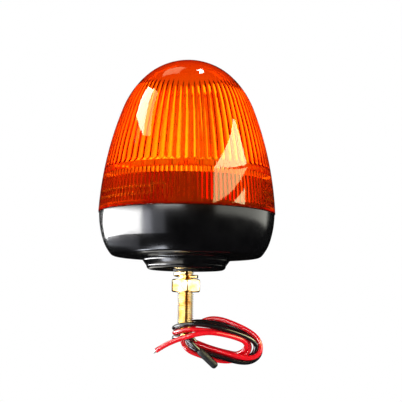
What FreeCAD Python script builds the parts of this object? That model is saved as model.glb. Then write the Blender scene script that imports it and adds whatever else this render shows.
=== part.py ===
import FreeCAD
import Part
import math
import os

os.makedirs("parts", exist_ok=True)

# Flashing beacon with a fluted amber lens, a black base and one hollow mounting stud.
# Millimetres, +Z up. The origin is the centre of the flat face under the boss, which
# rests on the panel. The front is -Y. An azimuth is in degrees from the front towards +X.

# Lens, outside
lens_overhang = 0.46        # the lens's lip stands out past the base's rim
side_lean = 2.83            # degrees from upright at the lip
side_bend = 219.0           # arc radius of the side, seen in section
side_end_lean = 20.7
shoulder_bend = 56.8
shoulder_end_lean = 45.7    # the crown above it is one ball, closed on the axis

# Lens, inside
lens_wall = 2.4
lens_lip_width = 3.7
lens_lip_height = 1.2
rim_relief = 1.6            # plain height between the lip and the fine ribs
fine_rib_count = 120
fine_rib_depth = 0.6
fine_rib_height = 19.7
block_count = 36
block_band_height = 4.0
block_band_step = 0.5       # how far the band stands in from the wall
block_depth = 0.8
block_margin = 0.6          # plain edge above and below each block
block_share = 0.76          # share of the pitch that a block takes
flute_count = 72
flute_depth = 0.9
flute_height = 55.0
flute_fade_height = 9.0     # the grooves run out into the crown over this height
flute_levels = 4
flute_run_out = 0.02        # share of the depth left where the grooves end
crown_bands = 5

# Interrupted thread between lens and collar
lens_rib_count = 3
lens_rib_height = 1.5
lens_rib_pitch = 4.2
lens_rib_low = 1.8          # lowest rib above the lens's bottom face
lens_rib_reach = 3.0        # how far the ribs stand in from the wall
lens_sector = 106.0         # degrees of each of the two rib sectors
lens_sector_end = -13.4     # azimuth of the stop end of the front sector
stop_tab_sector = 10.6
stop_tab_height = 11.6
stop_tab_frame = 1.3
collar_rib_height = 1.4
collar_rib_reach = 2.6
collar_sector = 70.0
stop_gap = 0.5              # degrees left at each stop
rib_gap = 0.15              # collar rib above lens rib

# Base housing
base_height = 35.2
base_rim_radius = 55.4
base_rim_lean = 1.08
bowl_side_bend = 57.4
bowl_side_end_lean = 17.8
bowl_corner_bend = 27.0
bowl_corner_end_lean = 39.1
bowl_edge_bend = 4.03
base_wall = 2.5
rim_chamfer = 0.4
rim_ledge_thickness = 4.7
collar_wall = 2.4
collar_height = 19.8        # above the base's rim
carrier_ledge_width = 2.0
carrier_ledge_height = 2.0
carrier_ledge_depth = 5.0   # ledge top below the collar's top
gasket_groove_rim = 1.2     # wall left outside the groove
gasket_groove_width = 3.8
gasket_groove_depth = 2.0
collar_step = 1.4           # flat left between the groove and the collar
gasket_side_gap = 0.2
gasket_top_gap = 0.1
lens_base_gap = 0.3

# Boss under the base
boss_top_radius = 27.3
boss_bottom_radius = 25.0
boss_edge_round = 2.5
boss_root_round = 2.5
boss_floor = 6.0
boss_recess_radius = 21.0

# Hollow stud, M10 with 1.5 mm pitch, and what is on it
stud_radius = 5.0
stud_bore_radius = 3.5
stud_length = 41.0          # below the seat
stud_tip_chamfer = 0.8
stud_hole_gap = 0.1
stud_head_flats = 17.0
stud_head_height = 5.0
stud_pocket_depth = 3.0
stud_pocket_gap = 0.1
thread_pitch = 1.5
seal_radius = 8.0
seal_recess = 1.2
seal_stand_out = 0.8
seal_gap = 0.05
washer_radius = 7.7
washer_thickness = 2.2
washer_rise = 2.7
washer_opening = 12.0       # degrees of the split
washer_seal_gap = 0.1
washer_stud_gap = 0.1
washer_split_azimuth = 28.0
nut_flats = 17.0
nut_height = 8.0
nut_bore_gap = 0.08
nut_washer_gap = 0.05
nut_corner_azimuth = 5.5
nut_chamfer = 30.0          # degrees
nut_face_inset = 0.3        # edge of the flat face inside the flats
nut_turns = 8.5

# Boards inside the base
driver_board_radius = 38.0
board_thickness = 1.6
driver_board_height = 24.0
board_post_circle = 33.0
board_post_radius = 3.5
board_post_count = 4
board_post_azimuth = 45.0
screw_radius = 1.45
screw_length = 8.0
screw_head_radius = 2.75
screw_head_height = 1.9
screw_hole_gap = 0.2
pilot_gap = 0.05
terminal_width = 10.0
terminal_depth = 8.0
terminal_height = 8.0
capacitor_radius = 5.0
capacitor_height = 16.0
capacitor_spread = 13.0
inductor_radius = 6.0
inductor_height = 8.0
inductor_core_share = 0.8   # of the flanges' radius
chip_width = 6.5
chip_depth = 5.0
chip_height = 1.6

# Carrier and tower of light-emitting diodes
carrier_gap = 0.3
carrier_thickness = 2.4
carrier_screw_inset = 3.8   # screw circle inside the collar's bore
carrier_screw_count = 3
carrier_screw_azimuth = 30.0
carrier_boss_radius = 4.0
carrier_boss_height = 10.0
carrier_hub_width = 14.0
carrier_hub_height = 4.6
post_width = 8.0
post_fit = 0.1
post_bore_radius = 2.0
post_foot_width = 13.0
post_foot_height = 1.5
post_height = 58.6          # above the carrier's top
strip_thickness = 1.0
strip_gap = 0.05
strip_length = 51.0
strip_end_gap = 0.5         # above the hub
diode_rows = 5
diode_width = 3.5
diode_height = 2.8
diode_depth = 1.3
top_board_width = 11.0
top_diode_width = 5.0
top_diode_height = 1.6
tower_lead_radius = 0.7
tower_lead_spread = 2.2

# Supply leads
lead_radius = 1.5
lead_spread = 1.68          # each lead's distance from the stud's axis
lead_hole_gap = 0.05
plug_length = 4.0
plug_gap = 0.05
hank_radius = 3.7
sleeve_radius = 2.3
tinned_radius = 1.0
turn_share = 0.45           # of a straight run, given to the bend at its end

# Heights and radii that follow from the sizes above
lens_lip_radius = base_rim_radius + lens_overhang
gasket_groove_outer = base_rim_radius - gasket_groove_rim
gasket_groove_inner = gasket_groove_outer - gasket_groove_width
collar_radius = gasket_groove_inner - collar_step
collar_bore_radius = collar_radius - collar_wall
carrier_screw_circle = collar_bore_radius - carrier_screw_inset
lens_bottom = base_height + lens_base_gap
fine_rib_bottom = lens_bottom + lens_lip_height + rim_relief
block_band_bottom = fine_rib_bottom + fine_rib_height
flute_bottom = block_band_bottom + block_band_height
flute_top = flute_bottom + flute_height
collar_top = base_height + collar_height
carrier_bottom = collar_top - carrier_ledge_depth
carrier_top = carrier_bottom + carrier_thickness
groove_floor = base_height - gasket_groove_depth
washer_top = -seal_stand_out - washer_seal_gap
washer_bottom = washer_top - washer_thickness - washer_rise
nut_top = washer_bottom - nut_washer_gap
nut_bottom = nut_top - nut_height
nut_travel = nut_turns * thread_pitch
lens_turn = 180.0 - stop_tab_sector - collar_sector - 2.0 * stop_gap
hub_top = carrier_top + carrier_hub_height
post_top = carrier_top + post_height
head_bottom = boss_floor - stud_pocket_depth

up = FreeCAD.Vector(0, 0, 1)
origin = FreeCAD.Vector(0, 0, 0)
front = -90.0


class TangentArcs:
    """Round stretches in the XZ plane that run into each other with no corner.

    way is 1 where the outline climbs towards the axis and -1 where it sinks. Each
    stretch is its arc's radius and the lean from upright at its far end, in degrees.
    """

    def __init__(self, radius, height, lean, way, stretches):
        self.way = way
        self.arcs = []
        for bend, end_lean in stretches:
            middle_radius = radius - bend * math.cos(math.radians(lean))
            middle_height = height - way * bend * math.sin(math.radians(lean))
            self.arcs.append((middle_radius, middle_height, bend, lean, end_lean))
            radius, height = self.point(self.arcs[-1], end_lean, 0.0)
            lean = end_lean

    def point(self, arc, lean, inset):
        bend = arc[2] - inset
        radius = arc[0] + bend * math.cos(math.radians(lean))
        height = arc[1] + self.way * bend * math.sin(math.radians(lean))
        return radius, height

    def lean_at(self, arc, height, inset):
        rise = self.way * (height - arc[1]) / (arc[2] - inset)
        return math.degrees(math.asin(max(-1.0, min(1.0, rise))))

    def radius_at(self, height, inset):
        for arc in self.arcs:
            lean = self.lean_at(arc, height, inset)
            if lean <= arc[4] or arc is self.arcs[-1]:
                return self.point(arc, lean, inset)[0]

    def edges(self):
        found = []
        for arc in self.arcs:
            leans = (arc[3], (arc[3] + arc[4]) / 2, arc[4])
            points = [spot(*self.point(arc, lean, 0.0)) for lean in leans]
            found.append(Part.Arc(*points).toShape())
        return found

    def bands(self, inset, start_height, count):
        """Points on the outline from a height to its end, evenly spaced by lean."""
        last = self.arcs[-1]
        first = self.lean_at(last, start_height, inset)
        return [self.point(last, first + (last[4] - first) * step / count, inset) for step in range(count)]

    def end(self, inset):
        return self.point(self.arcs[-1], self.arcs[-1][4], inset)


def spot(radius, height):
    return FreeCAD.Vector(radius, 0, height)


def run(*points):
    """Straight edges from point to point, each given as radius and height."""
    ends = [spot(*point) for point in points]
    return [Part.makeLine(a, b) for a, b in zip(ends, ends[1:])]


def turned(edges):
    return Part.Face(Part.Wire(edges)).revolve(origin, up, 360)


def ring(inner, outer, low, high):
    return turned(run((inner, low), (outer, low), (outer, high), (inner, high), (inner, low)))


def disc(radius, low, high, x=0.0, y=0.0):
    return Part.makeCylinder(radius, high - low, FreeCAD.Vector(x, y, low))


def sector(inner, outer, low, high, azimuth, width):
    """A stretch of a flat ring, from azimuth onwards towards +X."""
    face = Part.Face(Part.Wire(run((inner, low), (outer, low), (outer, high), (inner, high), (inner, low))))
    solid = face.revolve(origin, up, width)
    return rotated(solid, azimuth + front)


def rotated(shape, angle):
    copy = shape.copy()
    copy.rotate(origin, up, angle)
    return copy


def around(shape, count, first=0.0):
    return [rotated(shape, first + 360.0 * step / count) for step in range(count)]


def block(width, depth, low, high, x=0.0, y=0.0):
    corner = FreeCAD.Vector(x - width / 2, y - depth / 2, low)
    return Part.makeBox(width, depth, high - low, corner)


def hexagon(flats, low, high, corner_azimuth=0.0):
    corner_radius = flats / 2 / math.cos(math.radians(30))
    points = []
    for step in range(7):
        angle = math.radians(60 * step + corner_azimuth + front)
        points.append(FreeCAD.Vector(corner_radius * math.cos(angle), corner_radius * math.sin(angle), low))
    return Part.Face(Part.makePolygon(points)).extrude(up * (high - low))


def toothed_outline(count, ridge, groove, height):
    """A closed outline of V grooves, with ridges and grooves in turn."""
    points = []
    for step in range(2 * count):
        angle = math.pi * step / count
        radius = groove if step % 2 else ridge
        points.append(FreeCAD.Vector(radius * math.cos(angle), radius * math.sin(angle), height))
    return Part.makePolygon(points + points[:1])


def save(shape, name):
    shape.exportStep("parts/" + name + ".step")


# Lens

shoulder = TangentArcs(
    lens_lip_radius, lens_bottom, side_lean, 1,
    [(side_bend, side_end_lean), (shoulder_bend, shoulder_end_lean)],
)
crown_bend = shoulder.end(0.0)[0] / math.cos(math.radians(shoulder_end_lean))
dome = TangentArcs(
    lens_lip_radius, lens_bottom, side_lean, 1,
    [(side_bend, side_end_lean), (shoulder_bend, shoulder_end_lean), (crown_bend, 90.0)],
)


def filled_dome():
    top = (0.0, dome.end(0.0)[1])
    return turned(dome.edges() + run(top, (0.0, lens_bottom), (lens_lip_radius, lens_bottom)))


def crown_hollow():
    """The smooth hollow over the flutes."""
    points = dome.bands(lens_wall, flute_top, crown_bands)
    top = (0.0, dome.end(lens_wall)[1])
    return turned(run(*points, top, (0.0, flute_top), points[0]))


def lens_fine_ribs():
    outlines = []
    for height in (fine_rib_bottom, block_band_bottom):
        ridge = dome.radius_at(height, lens_wall)
        outlines.append(toothed_outline(fine_rib_count, ridge, ridge + fine_rib_depth, height))
    return Part.makeLoft(outlines, True, True)


def lens_block_band():
    radius = dome.radius_at(flute_bottom, lens_wall) - block_band_step
    band = disc(radius, block_band_bottom, flute_bottom)
    pitch = 360.0 / block_count
    low = block_band_bottom + block_margin
    high = flute_bottom - block_margin
    recess = sector(radius - 1.0, radius + block_depth, low, high, 0.0, pitch * block_share)
    return [band] + around(recess, block_count)


def lens_flutes():
    full_top = flute_top - flute_fade_height
    heights = []
    for step in range(flute_levels):
        heights.append((flute_bottom + (full_top - flute_bottom) * step / (flute_levels - 1), 1.0))
    heights.append((flute_top, flute_run_out))
    outlines = []
    for height, share in heights:
        ridge = dome.radius_at(height, lens_wall)
        outlines.append(toothed_outline(flute_count, ridge, ridge + share * flute_depth, height))
    return Part.makeLoft(outlines, True, True)


def lens_thread_sectors():
    """Two sectors of flat ribs with a framed stop tab at one end of each."""
    wall_radius = dome.radius_at(lens_bottom + lens_rib_low, lens_wall)
    inner = wall_radius - lens_rib_reach
    outer = wall_radius + lens_wall / 2
    pieces = []
    first = lens_sector_end - lens_sector
    for step in range(lens_rib_count):
        low = lens_bottom + lens_rib_low + step * lens_rib_pitch
        width = lens_sector - stop_tab_sector / 2
        pieces.append(sector(inner, outer, low, low + lens_rib_height, first, width))
    low = lens_bottom + lens_rib_low - lens_lip_height / 2
    high = low + stop_tab_height
    tab = sector(inner, outer, low, high, lens_sector_end - stop_tab_sector, stop_tab_sector)
    edge = math.degrees(stop_tab_frame / inner)
    hollow = sector(
        inner - 1.0, wall_radius, low + stop_tab_frame, high - stop_tab_frame,
        lens_sector_end - stop_tab_sector + edge, stop_tab_sector - 2 * edge,
    )
    pieces.append(tab.cut(hollow))
    return pieces + [rotated(piece, 180.0) for piece in pieces]


def lens():
    lip_bore = disc(lens_lip_radius - lens_lip_width, lens_bottom, lens_bottom + lens_lip_height)
    relief_radius = dome.radius_at(fine_rib_bottom, lens_wall) + fine_rib_depth / 2
    relief = disc(relief_radius, lens_bottom + lens_lip_height, fine_rib_bottom)
    cavity = [lip_bore, relief, lens_fine_ribs(), lens_flutes(), crown_hollow()]
    shell = filled_dome().cut(cavity + lens_block_band())
    return shell.fuse(lens_thread_sectors())


save(lens(), "lens")


# Base housing

bowl = TangentArcs(
    base_rim_radius, base_height - rim_chamfer, base_rim_lean, -1,
    [
        (bowl_side_bend, bowl_side_end_lean),
        (bowl_corner_bend, bowl_corner_end_lean),
        (bowl_edge_bend, 90.0),
    ],
)
bowl_bottom = bowl.end(0.0)[1]
bowl_floor = bowl_bottom + base_wall
ledge_bottom = base_height - rim_ledge_thickness


def boss_outline():
    """The boss's side, from the bowl's bottom down to the seat, with both ends rounded."""
    root = math.cos(math.radians(45)) * boss_root_round
    edge = math.cos(math.radians(45)) * boss_edge_round
    neck_height = bowl_bottom - boss_root_round
    foot_height = boss_edge_round
    root_arc = Part.Arc(
        spot(boss_top_radius + boss_root_round, bowl_bottom),
        spot(boss_top_radius + boss_root_round - root, bowl_bottom - boss_root_round + root),
        spot(boss_top_radius, neck_height),
    )
    edge_arc = Part.Arc(
        spot(boss_bottom_radius, foot_height),
        spot(boss_bottom_radius - boss_edge_round + edge, boss_edge_round - edge),
        spot(boss_bottom_radius - boss_edge_round, 0.0),
    )
    side = run((boss_top_radius, neck_height), (boss_bottom_radius, foot_height))
    return [root_arc.toShape()] + side + [edge_arc.toShape()]


def base_shell():
    hole = stud_radius + stud_hole_gap
    bowl_end = bowl.end(0.0)
    outside = bowl.edges()
    outside += run(bowl_end, (boss_top_radius + boss_root_round, bowl_bottom))
    outside += boss_outline()
    outside += run(
        (boss_bottom_radius - boss_edge_round, 0.0),
        (seal_radius + seal_gap, 0.0),
        (seal_radius + seal_gap, seal_recess),
        (hole, seal_recess),
        (hole, boss_floor),
        (boss_recess_radius, boss_floor),
        (boss_recess_radius, bowl_floor),
        (bowl.point(bowl.arcs[1], bowl_corner_end_lean, base_wall)[0] - base_wall, bowl_floor),
        bowl.point(bowl.arcs[1], bowl_corner_end_lean, base_wall),
        bowl.point(bowl.arcs[0], bowl_side_end_lean, base_wall),
        (bowl.radius_at(ledge_bottom, base_wall), ledge_bottom),
        (collar_bore_radius, ledge_bottom),
        (collar_bore_radius, collar_top),
        (collar_radius, collar_top),
        (collar_radius, base_height),
        (gasket_groove_inner, base_height),
        (gasket_groove_inner, groove_floor),
        (gasket_groove_outer, groove_floor),
        (gasket_groove_outer, base_height),
        (base_rim_radius - rim_chamfer, base_height),
        (base_rim_radius, base_height - rim_chamfer),
    )
    return turned(outside)


def collar_ribs():
    pieces = []
    last = lens_sector_end - stop_tab_sector - stop_gap
    for step in range(lens_rib_count):
        low = lens_bottom + lens_rib_low + step * lens_rib_pitch + lens_rib_height + rib_gap
        piece = sector(
            collar_radius - collar_wall / 2, collar_radius + collar_rib_reach,
            low, low + collar_rib_height, last - collar_sector, collar_sector,
        )
        pieces += [piece, rotated(piece, 180.0)]
    return pieces


def base_housing():
    pilot = screw_radius + pilot_gap
    post = disc(board_post_radius, bowl_floor - base_wall / 2, driver_board_height, board_post_circle)
    boss = disc(carrier_boss_radius, carrier_bottom - carrier_boss_height, carrier_bottom, carrier_screw_circle)
    ledge = ring(
        collar_bore_radius - carrier_ledge_width, collar_radius - collar_wall / 2,
        carrier_bottom - carrier_ledge_height, carrier_bottom,
    )
    solids = collar_ribs() + [ledge]
    solids += around(post, board_post_count, board_post_azimuth) + around(boss, carrier_screw_count, carrier_screw_azimuth)
    shell = base_shell().fuse(solids)
    hexagon_pocket = hexagon(stud_head_flats + 2 * stud_pocket_gap, head_bottom, boss_floor)
    board_pilot = disc(pilot, driver_board_height - screw_length, driver_board_height, board_post_circle)
    carrier_pilot = disc(pilot, carrier_bottom - screw_length, carrier_bottom, carrier_screw_circle)
    holes = [hexagon_pocket]
    holes += around(board_pilot, board_post_count, board_post_azimuth)
    holes += around(carrier_pilot, carrier_screw_count, carrier_screw_azimuth)
    return shell.cut(holes)


def lens_gasket():
    inner = gasket_groove_inner + gasket_side_gap
    outer = gasket_groove_outer - gasket_side_gap
    return ring(inner, outer, groove_floor, lens_bottom - gasket_top_gap)


save(base_housing(), "base_housing")
save(lens_gasket(), "lens_gasket")


# Stud, seal, washer and nut

def hollow_stud():
    head = hexagon(stud_head_flats, head_bottom, head_bottom + stud_head_height)
    tip = -stud_length
    shank = turned(run(
        (stud_bore_radius, tip),
        (stud_radius - stud_tip_chamfer, tip),
        (stud_radius, tip + stud_tip_chamfer),
        (stud_radius, head_bottom + stud_head_height / 2),
        (stud_bore_radius, head_bottom + stud_head_height / 2),
        (stud_bore_radius, tip),
    ))
    bore = disc(stud_bore_radius, head_bottom - 1.0, head_bottom + stud_head_height + 1.0)
    return shank.fuse(head).cut(bore).removeSplitter()


def stud_seal():
    inner = stud_radius + seal_gap
    return ring(inner, seal_radius, -seal_stand_out, seal_recess)


def lock_washer():
    """A split spring washer: one turn of square bar with its two ends sprung apart."""
    inner = stud_radius + washer_stud_gap
    turn = 360.0 - washer_opening
    steps = 24
    sections = []
    for step in range(steps + 1):
        drop = washer_rise * step / steps
        angle = math.radians(washer_split_azimuth + front + washer_opening / 2 + turn * step / steps)
        corners = [
            (inner, washer_top - drop),
            (washer_radius, washer_top - drop),
            (washer_radius, washer_top - drop - washer_thickness),
            (inner, washer_top - drop - washer_thickness),
        ]
        points = []
        for radius, height in corners:
            points.append(FreeCAD.Vector(radius * math.cos(angle), radius * math.sin(angle), height))
        sections.append(Part.makePolygon(points + points[:1]))
    return Part.makeLoft(sections, True, True)


def mounting_nut():
    corner_radius = nut_flats / 2 / math.cos(math.radians(30))
    bore = stud_radius + nut_bore_gap
    face_radius = nut_flats / 2 - nut_face_inset
    drop = (corner_radius - face_radius) * math.tan(math.radians(nut_chamfer))
    envelope = turned(run(
        (bore, nut_bottom),
        (face_radius, nut_bottom),
        (corner_radius, nut_bottom + drop),
        (corner_radius, nut_top - drop),
        (face_radius, nut_top),
        (bore, nut_top),
        (bore, nut_bottom),
    ))
    return hexagon(nut_flats, nut_bottom, nut_top, nut_corner_azimuth).common(envelope)


save(hollow_stud(), "hollow_stud")
save(stud_seal(), "stud_seal")
save(lock_washer(), "lock_washer")
save(mounting_nut(), "mounting_nut")


# Driver board and what stands on it

board_top = driver_board_height + board_thickness


def screws(circle, count, first, seat):
    shank = disc(screw_radius, seat - screw_length + screw_hole_gap, seat, circle)
    head = disc(screw_head_radius, seat, seat + screw_head_height, circle)
    return Part.makeCompound(around(shank.fuse(head), count, first))


def driver_board():
    hole = disc(screw_radius + screw_hole_gap, driver_board_height, board_top, board_post_circle)
    plate = disc(driver_board_radius, driver_board_height, board_top)
    leads = [disc(tower_lead_radius, driver_board_height, board_top, x) for x in (-tower_lead_spread, tower_lead_spread)]
    return plate.cut(around(hole, board_post_count, board_post_azimuth) + leads)


def capacitors():
    low = board_top
    cans = []
    for x in (-capacitor_spread, capacitor_spread):
        cans.append(disc(capacitor_radius, low, low + capacitor_height, x, capacitor_spread))
    return Part.makeCompound(cans)


def inductor():
    flange = inductor_height / 5
    flanges = ring(0.0, inductor_radius, 0.0, flange)
    core = disc(inductor_radius * inductor_core_share, flange, inductor_height - flange)
    coil = flanges.fuse([core, ring(0.0, inductor_radius, inductor_height - flange, inductor_height)])
    coil.translate(FreeCAD.Vector(0, -capacitor_spread, board_top))
    return coil


def control_chips():
    chips = []
    for x in (-capacitor_spread - chip_width, capacitor_spread + chip_width):
        chips.append(block(chip_width, chip_depth, board_top, board_top + chip_height, x, -chip_depth))
    return Part.makeCompound(chips)


def terminal_block():
    low = driver_board_height - terminal_height
    return block(terminal_width, terminal_depth, low, driver_board_height)


save(driver_board(), "driver_board")
save(screws(board_post_circle, board_post_count, board_post_azimuth, board_top), "board_screws")
save(capacitors(), "capacitors")
save(inductor(), "inductor")
save(control_chips(), "control_chips")
save(terminal_block(), "terminal_block")


# Carrier and tower

def carrier_disc():
    plate = disc(collar_bore_radius - carrier_gap, carrier_bottom, carrier_top)
    hub = block(carrier_hub_width, carrier_hub_width, carrier_bottom, hub_top)
    opening = block(post_width + 2 * post_fit, post_width + 2 * post_fit, carrier_bottom, hub_top)
    hole = disc(screw_radius + screw_hole_gap, carrier_bottom, carrier_top, carrier_screw_circle)
    return plate.fuse(hub).cut([opening] + around(hole, carrier_screw_count, carrier_screw_azimuth)).removeSplitter()


def tower_post():
    foot = block(post_foot_width, post_foot_width, carrier_bottom - post_foot_height, carrier_bottom)
    shaft = block(post_width, post_width, carrier_bottom, post_top)
    bore = disc(post_bore_radius, carrier_bottom - post_foot_height, post_top)
    return foot.fuse(shaft).cut(bore).removeSplitter()


strip_bottom = hub_top + strip_end_gap
strip_inner = post_width / 2 + strip_gap
strip_width = post_width + strip_thickness
diode_face = strip_inner + strip_thickness


def strip():
    """The front strip. Each strip covers the edge of the next one, like a pinwheel."""
    corner = FreeCAD.Vector(-strip_inner - strip_thickness, -strip_inner - strip_thickness, strip_bottom)
    return Part.makeBox(strip_width, strip_thickness, strip_length, corner)


def diodes():
    pitch = strip_length / diode_rows
    pieces = []
    for row in range(diode_rows):
        low = strip_bottom + (row + 0.5) * pitch - diode_height / 2
        x = -strip_inner - strip_thickness + strip_width / 2
        pieces.append(block(diode_width, diode_depth, low, low + diode_height, x, -diode_face - diode_depth / 2))
    return Part.makeCompound(pieces)


def top_board():
    return block(top_board_width, top_board_width, post_top, post_top + strip_thickness)


def top_diode():
    low = post_top + strip_thickness
    return block(top_diode_width, top_diode_width, low, low + top_diode_height)


def tower_leads():
    leads = []
    for x in (-tower_lead_spread, tower_lead_spread):
        leads.append(disc(tower_lead_radius, driver_board_height, carrier_bottom - post_foot_height, x))
    return Part.makeCompound(leads)


save(carrier_disc(), "carrier_disc")
save(screws(carrier_screw_circle, carrier_screw_count, carrier_screw_azimuth, carrier_top), "carrier_screws")
save(tower_post(), "tower_post")
for step, side in enumerate(("front", "right", "rear", "left")):
    save(rotated(strip(), 90.0 * step), "tower_strip_" + side)
    save(rotated(diodes(), 90.0 * step), "diodes_" + side)
save(top_board(), "top_board")
save(top_diode(), "top_diode")
save(tower_leads(), "tower_leads")


# Supply leads. Each route is a list of points, rounded where it turns.

tip_height = -stud_length
red_start_route = [
    (-lead_spread, 0.0, tip_height),
    (-lead_spread, 0.0, -45.6),
    (0.9, -0.1, -50.0),
    (5.4, -0.3, -52.2),
    (10.3, -0.5, -52.7),
]
black_start_route = [
    (lead_spread, 0.0, tip_height),
    (lead_spread, 0.0, -44.2),
    (3.6, -0.1, -47.4),
    (7.2, -0.3, -49.2),
    (10.9, -0.5, -49.5),
]
hank_route = [
    (11.0, -0.5, -51.0),
    (24.5, -1.5, -54.6),
    (38.0, -1.0, -55.8),
    (47.3, 0.0, -50.6),
    (46.8, 1.0, -42.6),
    (37.0, 3.0, -38.0),
    (24.0, 6.4, -35.0),
    (10.0, 9.6, -33.0),
    (-3.4, 9.8, -32.4),
    (-10.6, 3.2, -33.4),
    (-9.8, -6.2, -36.0),
    (-1.0, -10.2, -37.8),
    (12.0, -8.6, -38.6),
    (26.0, -6.0, -41.0),
    (37.0, -4.5, -44.5),
]
red_end_route = [
    (9.0, -10.6, -39.4),
    (1.0, -13.6, -42.2),
    (-7.5, -12.0, -44.8),
    (-14.0, -8.6, -48.2),
    (-17.6, -6.6, -50.2),
]
tinned_end = (-19.4, -5.6, -51.2)
black_end_route = [
    (0.5, -9.4, -38.6),
    (3.0, -9.5, -43.0),
    (6.0, -9.0, -46.9),
    (8.6, -8.7, -49.6),
]
sleeve_end = (19.6, -7.4, -59.6)


def tube(name, route, radius):
    """A round bar along straight runs and tangent arcs."""
    points = [FreeCAD.Vector(*place) for place in route]
    edges = []
    radii = []
    here = points[0]
    for before, corner, after in zip(points, points[1:], points[2:]):
        came = (corner - before).normalize()
        goes = (after - corner).normalize()
        half_turn = came.getAngle(goes) / 2
        reach = turn_share * min((corner - before).Length, (after - corner).Length)
        bend = reach / math.tan(half_turn)
        inward = (goes - came).normalize()
        start = corner - came * reach
        middle = corner + inward * bend * (1 / math.cos(half_turn) - 1)
        end = corner + goes * reach
        edges.append(Part.LineSegment(here, start).toShape())
        edges.append(Part.Arc(start, middle, end).toShape())
        radii.append(round(bend, 1))
        here = end
    edges.append(Part.LineSegment(here, points[-1]).toShape())
    path = Part.Wire(edges)
    section = Part.Wire(Part.makeCircle(radius, points[0], points[1] - points[0]))
    solid = path.makePipeShell([section], True, False)
    share = solid.Volume / (math.pi * radius ** 2 * path.Length)
    print(name, "length", round(path.Length, 1), "bends", radii, "volume over section and length", round(share, 4))
    return solid


def bar(start, end, radius):
    way = FreeCAD.Vector(*end) - FreeCAD.Vector(*start)
    return Part.makeCylinder(radius, way.Length, FreeCAD.Vector(*start), way)


def black_sleeve():
    way = FreeCAD.Vector(*sleeve_end) - FreeCAD.Vector(*black_end_route[-1])
    solid = bar(black_end_route[-1], sleeve_end, sleeve_radius)
    far = [edge for edge in solid.Edges if (edge.CenterOfMass - FreeCAD.Vector(*sleeve_end)).Length < way.Length / 4]
    return solid.makeFillet(sleeve_radius / 2, far)


def lead_plug():
    """The sealing plug in the mouth of the stud, with a hole for each lead."""
    radius = stud_bore_radius - plug_gap
    plug = disc(radius, tip_height, tip_height + plug_length)
    holes = [
        disc(lead_radius + lead_hole_gap, tip_height, tip_height + plug_length, x)
        for x in (-lead_spread, lead_spread)
    ]
    return plug.cut(holes)


def inner_lead(x):
    return disc(lead_radius, tip_height, driver_board_height - terminal_height, x)


save(lead_plug(), "lead_plug")
save(inner_lead(-lead_spread), "red_inner_lead")
save(inner_lead(lead_spread), "black_inner_lead")
save(tube("red_lead_start", red_start_route, lead_radius), "red_lead_start")
save(tube("black_lead_start", black_start_route, lead_radius), "black_lead_start")
save(tube("lead_hank", hank_route, hank_radius), "lead_hank")
save(tube("red_lead_end", red_end_route, lead_radius), "red_lead_end")
save(bar(red_end_route[-1], tinned_end, tinned_radius), "red_lead_tip")
save(tube("black_lead_end", black_end_route, lead_radius), "black_lead_end")
save(black_sleeve(), "black_lead_sleeve")
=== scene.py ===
# %% [markdown]
# # A flashing beacon with a fluted amber lens
# The object is a warning light: an amber lens, ribbed on its inside, screws onto a
# black base, and the base stands on one hollow threaded stud. A spring washer and a
# nut hold the stud in a panel, and a red and a black lead come out of its end.
# The rigid parts were built first in a CAD program. That model is loaded here as a
# frame: it says where everything is, and this script gives it its looks.

# %% Load the frame
import math
import bmesh
import bpy
from mathutils import Matrix, Vector


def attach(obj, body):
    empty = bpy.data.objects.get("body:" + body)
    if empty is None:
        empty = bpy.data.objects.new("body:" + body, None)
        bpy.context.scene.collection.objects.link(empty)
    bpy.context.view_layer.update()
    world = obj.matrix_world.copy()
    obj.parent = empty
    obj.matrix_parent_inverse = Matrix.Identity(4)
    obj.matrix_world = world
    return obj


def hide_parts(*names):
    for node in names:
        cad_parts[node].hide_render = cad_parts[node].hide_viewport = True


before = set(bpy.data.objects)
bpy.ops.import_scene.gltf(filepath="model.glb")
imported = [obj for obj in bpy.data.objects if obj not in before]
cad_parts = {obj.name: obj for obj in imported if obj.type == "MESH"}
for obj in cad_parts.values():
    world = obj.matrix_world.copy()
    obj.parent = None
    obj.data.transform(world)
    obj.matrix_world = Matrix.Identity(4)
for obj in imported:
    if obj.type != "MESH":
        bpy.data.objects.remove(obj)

MM = 0.001
scene = bpy.context.scene
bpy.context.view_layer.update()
scene.view_settings.view_transform = "Standard"

# %% [markdown]
# ## The camera
# The photograph looks slightly up at the beacon from in front, from about 0.6 m. A
# camera is an object that looks along its own -Z, so it is turned up by a right
# angle first, then pitched, and rolled a little, as the photograph is. The
# long lens keeps the perspective as flat as it is in the photograph.

# %% Camera
CAMERA_PLACE = Vector((0.0, -0.6, -0.033))
PITCH, YAW, ROLL = math.radians(7.3), math.radians(-0.84), math.radians(0.81)
SENSOR_WIDTH, FOCAL_PIXELS, FRAME_PIXELS = 36.0, 953.0, 402.0


def in_scene(name, data):
    thing = bpy.data.objects.new(name, data)
    scene.collection.objects.link(thing)
    return thing


camera = in_scene("camera", bpy.data.cameras.new("camera"))
camera.data.sensor_width = SENSOR_WIDTH
camera.data.lens = SENSOR_WIDTH * FOCAL_PIXELS / FRAME_PIXELS
turn = Matrix.Rotation(YAW, 4, "Z") @ Matrix.Rotation(math.pi / 2 + PITCH, 4, "X")
camera.matrix_world = Matrix.Translation(CAMERA_PLACE) @ turn @ Matrix.Rotation(ROLL, 4, "Z")
scene.camera = camera
print("lens", round(camera.data.lens, 1), "mm")

# %% [markdown]
# ## The leads' routes
# A red and a black lead leave the stud, run twice round each other in loose turns
# beside and behind the nut, and end in the air: the red one stripped and tinned, the
# black one in a sleeve. The points that their routes follow are in mm.

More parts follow.
